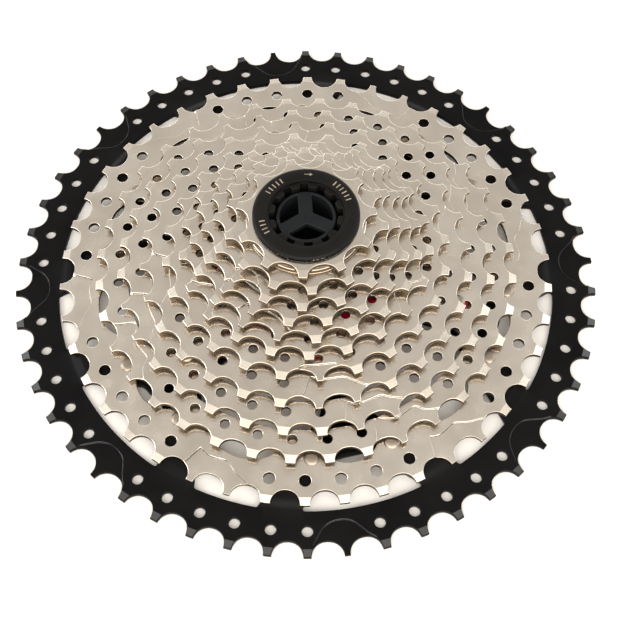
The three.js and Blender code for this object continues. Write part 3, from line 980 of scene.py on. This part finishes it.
def rivet(node, body):
    """A rivet with a domed head, a flat foot and a ring pressed round the head."""
    low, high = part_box(node)
    centre = ((low.x + high.x) / 2 / MM, (low.y + high.y) / 2 / MM)
    bottom, top = heights(node)
    foot = 0.7
    head = 0.75
    shell = Shell()
    profile = [
        (0, bottom), (2.5, bottom), (2.72, bottom + 0.15), (2.72, bottom + foot), (1.8, bottom + foot),
        (1.8, top - head), (2.72, top - head), (2.72, top - head + 0.12), (2.55, top - 0.38),
        (2.2, top - 0.14), (1.6, top - 0.05), (0.8, top - 0.01), (0, top),
    ]
    lathe(shell, profile, 32, centre)
    new_piece(f"{node}_body", shell, [RIVET_STEEL], body, [node])


def rivets(kind, count, body):
    for number in range(1, count + 1):
        rivet(f"{kind}_rivet_{number:02d}", body)


SPACER_RADII = (17.65, 20.95)
WASHER_RADII = (15.6, 16.85)


def loose_ring(node, body, radii):
    inner, outer = radii
    bottom, top = heights(node)
    shell = Shell()
    plate(shell, circle(outer, 128), [circle(inner, 128)], bottom, top, chamfer=0.15)
    new_piece(f"{node}_body", shell, [SPACER], body, [node])


def loose_rings():
    for teeth in (19, 17, 15):
        loose_ring(f"spacer_below_{teeth}t", f"body_{teeth}t", SPACER_RADII)
    loose_ring("lockring_washer", "washer", WASHER_RADII)


# ---- Lockring ----

LOCK_RADIUS = 17.6
LOCK_FACE = 16.9
TOOL_OUTER = 12.2
TOOL_INNER = 10.45
THREAD = 15.2
THREAD_DEPTH = 0.5
THREAD_PITCH = 25.4 / 24
THREAD_ROWS = 6  # rows of points in one pitch


def tool_loop():
    """The notched opening for the tightening tool."""
    corners, radii = [], []
    for angle in evenly(15.0, 12):
        for spread, radius in ((-8.7, TOOL_OUTER), (-7.2, TOOL_INNER), (7.2, TOOL_INNER), (8.7, TOOL_OUTER)):
            corners.append(polar(radius, angle + spread))
        radii += [0.35, 0.3, 0.3, 0.35]
    return fillet(corners, radii, steps=3)


def knurled_loop(radius, depth, count):
    points = []
    for number in range(count):
        angle = 360 * number / count
        for share, drop in ((0.0, 0), (0.45, 0), (0.6, depth), (0.85, depth)):
            points.append(polar(radius - drop, angle + share * 360 / count))
    return points


def threaded_tube(shell, bottom, top, steps=96):
    """The outside of the thread, wound as one right-hand helix, closed by a plain bore."""
    rows = []
    count = round((top - bottom) / THREAD_PITCH * THREAD_ROWS)
    for row in range(count + 1):
        z = bottom + (top - bottom) * row / count
        points = []
        for step in range(steps):
            turn = (z / THREAD_PITCH - step / steps) % 1.0
            crest = abs(2 * turn - 1)
            points.append(polar(THREAD - THREAD_DEPTH + THREAD_DEPTH * crest, 360 * step / steps))
        rows.append(shell.add_points(np.array(points), np.full(steps, z)))
    inner = np.array(circle(TOOL_OUTER + 0.4, steps))
    inner_top = shell.add_points(inner, np.full(steps, top))
    inner_bottom = shell.add_points(inner, np.full(steps, bottom))
    for lower, upper in zip(rows, rows[1:]):
        shell.bridge(lower, upper)
    shell.bridge(rows[-1], inner_top)
    shell.bridge(inner_top, inner_bottom)
    shell.bridge(inner_bottom, rows[0])


def lockring():
    """The black lockring: flange, knurled edge, notched opening and thread."""
    bottom, top = heights("lockring")
    top -= CLEARANCE  # room for the marks
    under = heights("lockring_washer")[1] + CLEARANCE
    shell = Shell()
    lathe(shell, [
        (12.75, under + 0.3), (LOCK_RADIUS - 0.5, under + 0.3), (LOCK_RADIUS, under + 0.5),
        (LOCK_RADIUS - 0.05, under + 0.7), (LOCK_FACE + 0.12, top - 0.1), (LOCK_FACE - 0.1, top),
        (13.0, top), (12.65, top - 0.12), (12.5, top - 0.5),
    ], 144)
    knurl = knurled_loop(LOCK_RADIUS - 0.15, 0.35, 72)
    plate(shell, knurl, [circle(12.8, 96)], under, under + 0.45, chamfer=0.08)
    plate(shell, circle(12.9, 96), [tool_loop()], bottom + 0.3, top - 0.9, chamfer=0.25)
    threaded_tube(shell, bottom, under + 0.2)
    new_piece("lockring_body", shell, [LOCK], "lockring", ["lockring"])
    lockring_marks(top)


MARK_CIRCLE = 14.75
TICK_LENGTH = 1.9
TICK_WIDTH = 0.42
TICK_STEP = 6.0  # degrees between two lines of a group
MARK_HALF = 0.006  # half of a mark's thickness


def tick_marks(name, middle_angle, count, z):
    """A group of short radial lines on the face."""
    shell = Shell()
    half = math.degrees(TICK_WIDTH / 2 / MARK_CIRCLE)
    for number in range(count):
        angle = middle_angle + TICK_STEP * (number - (count - 1) / 2)
        outline = [polar(MARK_CIRCLE + TICK_LENGTH * out, angle + half * side)
                   for out, side in ((-0.5, -1), (0.5, -1), (0.5, 1), (-0.5, 1))]
        plate(shell, outline, [], z - MARK_HALF, z + MARK_HALF, chamfer=0.004)
    new_piece(name, shell, [MARK], "lockring", ())


def arrow_mark(middle, z):
    """An arrow that points the way the ring tightens."""
    outline = [(-1.3, -0.11), (0.4, -0.11), (0.4, -0.55), (1.4, 0), (0.4, 0.55), (0.4, 0.11), (-1.3, 0.11)]
    shell = Shell()
    plate(shell, outline, [], z - MARK_HALF, z + MARK_HALF, chamfer=0.004)
    shell.points = [
        (*polar(MARK_CIRCLE + 0.3 + y, middle - math.degrees(x / MARK_CIRCLE)), height)
        for x, y, height in shell.points
    ]
    new_piece("mark_arrow", shell, [MARK], "lockring", ())


def lockring_marks(top):
    """Plain lines and an arrow on the face."""
    z = top + 0.004
    tick_marks("mark_lines_1", 132.0, 5, z)
    tick_marks("mark_lines_2", 31.5, 6, z)
    tick_marks("mark_lines_3", 198.0, 4, z)
    arrow_mark(83.4, z)


# ---- Shipping core ----

NECK = 9.9
NECK_INNER = 8.7
SPOKE_HALF = 2.4
CORE_FLANGE = 20.95
CORE_SHOULDER = 31.0
CORE_TOP = 40.4
# Radius of the core's hollow in its flange, its splined part and its upper end
FLANGE_BORE, CORE_BORE, UPPER_BORE = 15.25, 15.22, 15.6


def sector_window(angle, inner, outer, spoke_half):
    """One of the three openings between the spokes of the core's end."""
    arcs = []
    for radius, parts in ((outer, 20), (inner, 4)):
        beside = math.degrees(math.asin(spoke_half / radius))
        width = 120 - 2 * beside
        arcs.append([polar(radius, angle + beside + width * step / parts) for step in range(parts + 1)])
    radii = [1.0] + [0] * 19 + [1.0, 0.5] + [0] * 3 + [0.5]
    return fillet(arcs[0] + arcs[1][::-1], radii, steps=5)


def shipping_core():
    """The plastic core: a round foot, a splined tube and a narrow neck with three spokes."""
    bottom, neck_top = heights("shipping_core")
    splines = spline_loop(BORE - FIT_GAP, SPLINE - FIT_GAP - 0.05, 1.2)
    neck_bore = [circle(NECK_INNER, 72)]
    shell = Shell()
    plate(shell, circle(CORE_FLANGE, 128), [circle(FLANGE_BORE, 96)], bottom, 1.8, chamfer=0.4)
    plate(shell, splines, [circle(CORE_BORE, 96)], 1.6, CORE_SHOULDER, chamfer=0.3)
    plate(shell, splines, [circle(UPPER_BORE, 96)], CORE_SHOULDER - 0.6, CORE_TOP, chamfer=0.35)
    plate(shell, circle(15.4, 96), neck_bore, CORE_SHOULDER - 2.0, CORE_SHOULDER, chamfer=0.3)
    plate(shell, circle(NECK, 72), neck_bore, CORE_SHOULDER - 0.5, neck_top - 1.2, chamfer=0.3)
    windows = [sector_window(angle, 2.9, NECK_INNER, SPOKE_HALF) for angle in evenly(90.0, 3)]
    plate(shell, circle(NECK, 96), windows, neck_top - 2.2, neck_top, chamfer=0.45)
    # A low ring on the middle of the spokes
    ridge = [(1.46, -0.3), (1.46, 0.04), (1.6, 0.09), (1.72, 0.04), (1.72, -0.3)]
    lathe(shell, [(radius, neck_top + height) for radius, height in ridge], 40)
    new_piece("shipping_core_body", shell, [PLASTIC], "core", ["shipping_core"])


# ---- Stage, lights and camera ----

CAMERA_PLACE = (-0.01363, -0.21178, 0.37153)
CAMERA_TARGET = (0.00365, -0.01713, 0.0)
CAMERA_ROLL = 1.09


def look_at(location, target, roll=0.0):
    """Placement of a camera or lamp that faces the target."""
    away = Vector(location) - Vector(target)
    turn = away.to_track_quat("Z", "Y").to_matrix().to_4x4()
    return Matrix.Translation(location) @ turn @ Matrix.Rotation(math.radians(roll), 4, "Z")


def camera():
    data = bpy.data.cameras.new("camera")
    data.lens = 67.455
    data.sensor_width = 36.0
    added = add_object("camera", data)
    added.matrix_world = look_at(CAMERA_PLACE, CAMERA_TARGET, CAMERA_ROLL)
    bpy.context.scene.camera = added


def floor():
    """A plain pale floor, just under the part."""
    reach, height = 3.0, -0.00005
    corners = [(-reach, -reach), (reach, -reach), (reach, reach), (-reach, reach)]
    mesh = bpy.data.meshes.new("floor")
    mesh.from_pydata([(x, y, height) for x, y in corners], [], [(0, 1, 2, 3)])
    material, tree = new_material("floor")
    shader = tree.nodes["Principled BSDF"]
    shader.inputs["Roughness"].default_value = 0.9
    shader.inputs["Specular IOR Level"].default_value = 0.1
    tones = [(0.2, (0.60, 0.57, 0.53)), (0.8, (0.64, 0.61, 0.57))]
    tree.links.new(ramp(tree, noise(tree, 3.0), tones), shader.inputs["Base Color"])
    mesh.materials.append(material)
    add_object("floor", mesh)


def area_light(name, location, target, size, power, colour=(1.0, 1.0, 1.0)):
    data = bpy.data.lights.new(name, "AREA")
    data.shape = "RECTANGLE"
    data.size, data.size_y = size
    data.energy = power
    data.color = colour
    add_object(name, data).matrix_world = look_at(location, target)


def lights():
    """Soft light from in front, with side lamps and two small glints."""
    area_light("overhead", (0.0, -0.3, 1.1), (0, -0.1, 0), (1.5, 0.8), 6.5, (1.0, 0.96, 0.90))
    area_light("front", (0.0, -1.35, 1.0), (0, 0, 0), (2.6, 1.3), 62.0, (1.0, 0.99, 0.98))
    area_light("far_wall", (0.0, 1.3, 0.32), (0, 0, 0.05), (2.4, 0.5), 10.0)
    area_light("left_wall", (-1.0, 0.1, 0.75), (0, 0, 0), (0.5, 0.7), 7.0)
    area_light("left_glint", (-0.85, 0.5, 1.0), (0, 0, 0), (0.4, 0.6), 2.6, (0.92, 0.96, 1.0))
    area_light("right_glint", (0.95, 0.45, 1.0), (0, 0, 0), (0.4, 0.6), 2.6, (0.92, 0.96, 1.0))
    area_light("left_low", (-1.2, 0.1, 0.25), (0, 0, 0.05), (1.6, 0.4), 5.0, (0.86, 0.93, 1.0))
    area_light("right_low", (1.2, 0.1, 0.3), (0, 0, 0.05), (1.6, 0.5), 5.0, (0.86, 0.93, 1.0))
    world = bpy.data.worlds.new("studio")
    world.use_nodes = True
    background = world.node_tree.nodes["Background"]
    background.inputs["Color"].default_value = (1.0, 0.98, 0.95, 1.0)
    background.inputs["Strength"].default_value = 0.72
    bpy.context.scene.world = world
    bpy.context.scene.view_settings.view_transform = "Standard"


# ---- Assembly ----

camera()
lights()
floor()
largest_sprocket()
steel_sprockets()
carrier()
rivets("ring", 2 * ARM_COUNT, "large_block")
rivets("carrier_outer", CARRIER_ARMS, "middle_block")
rivets("carrier_inner", ARM_COUNT, "middle_block")
loose_rings()
lockring()
shipping_core()
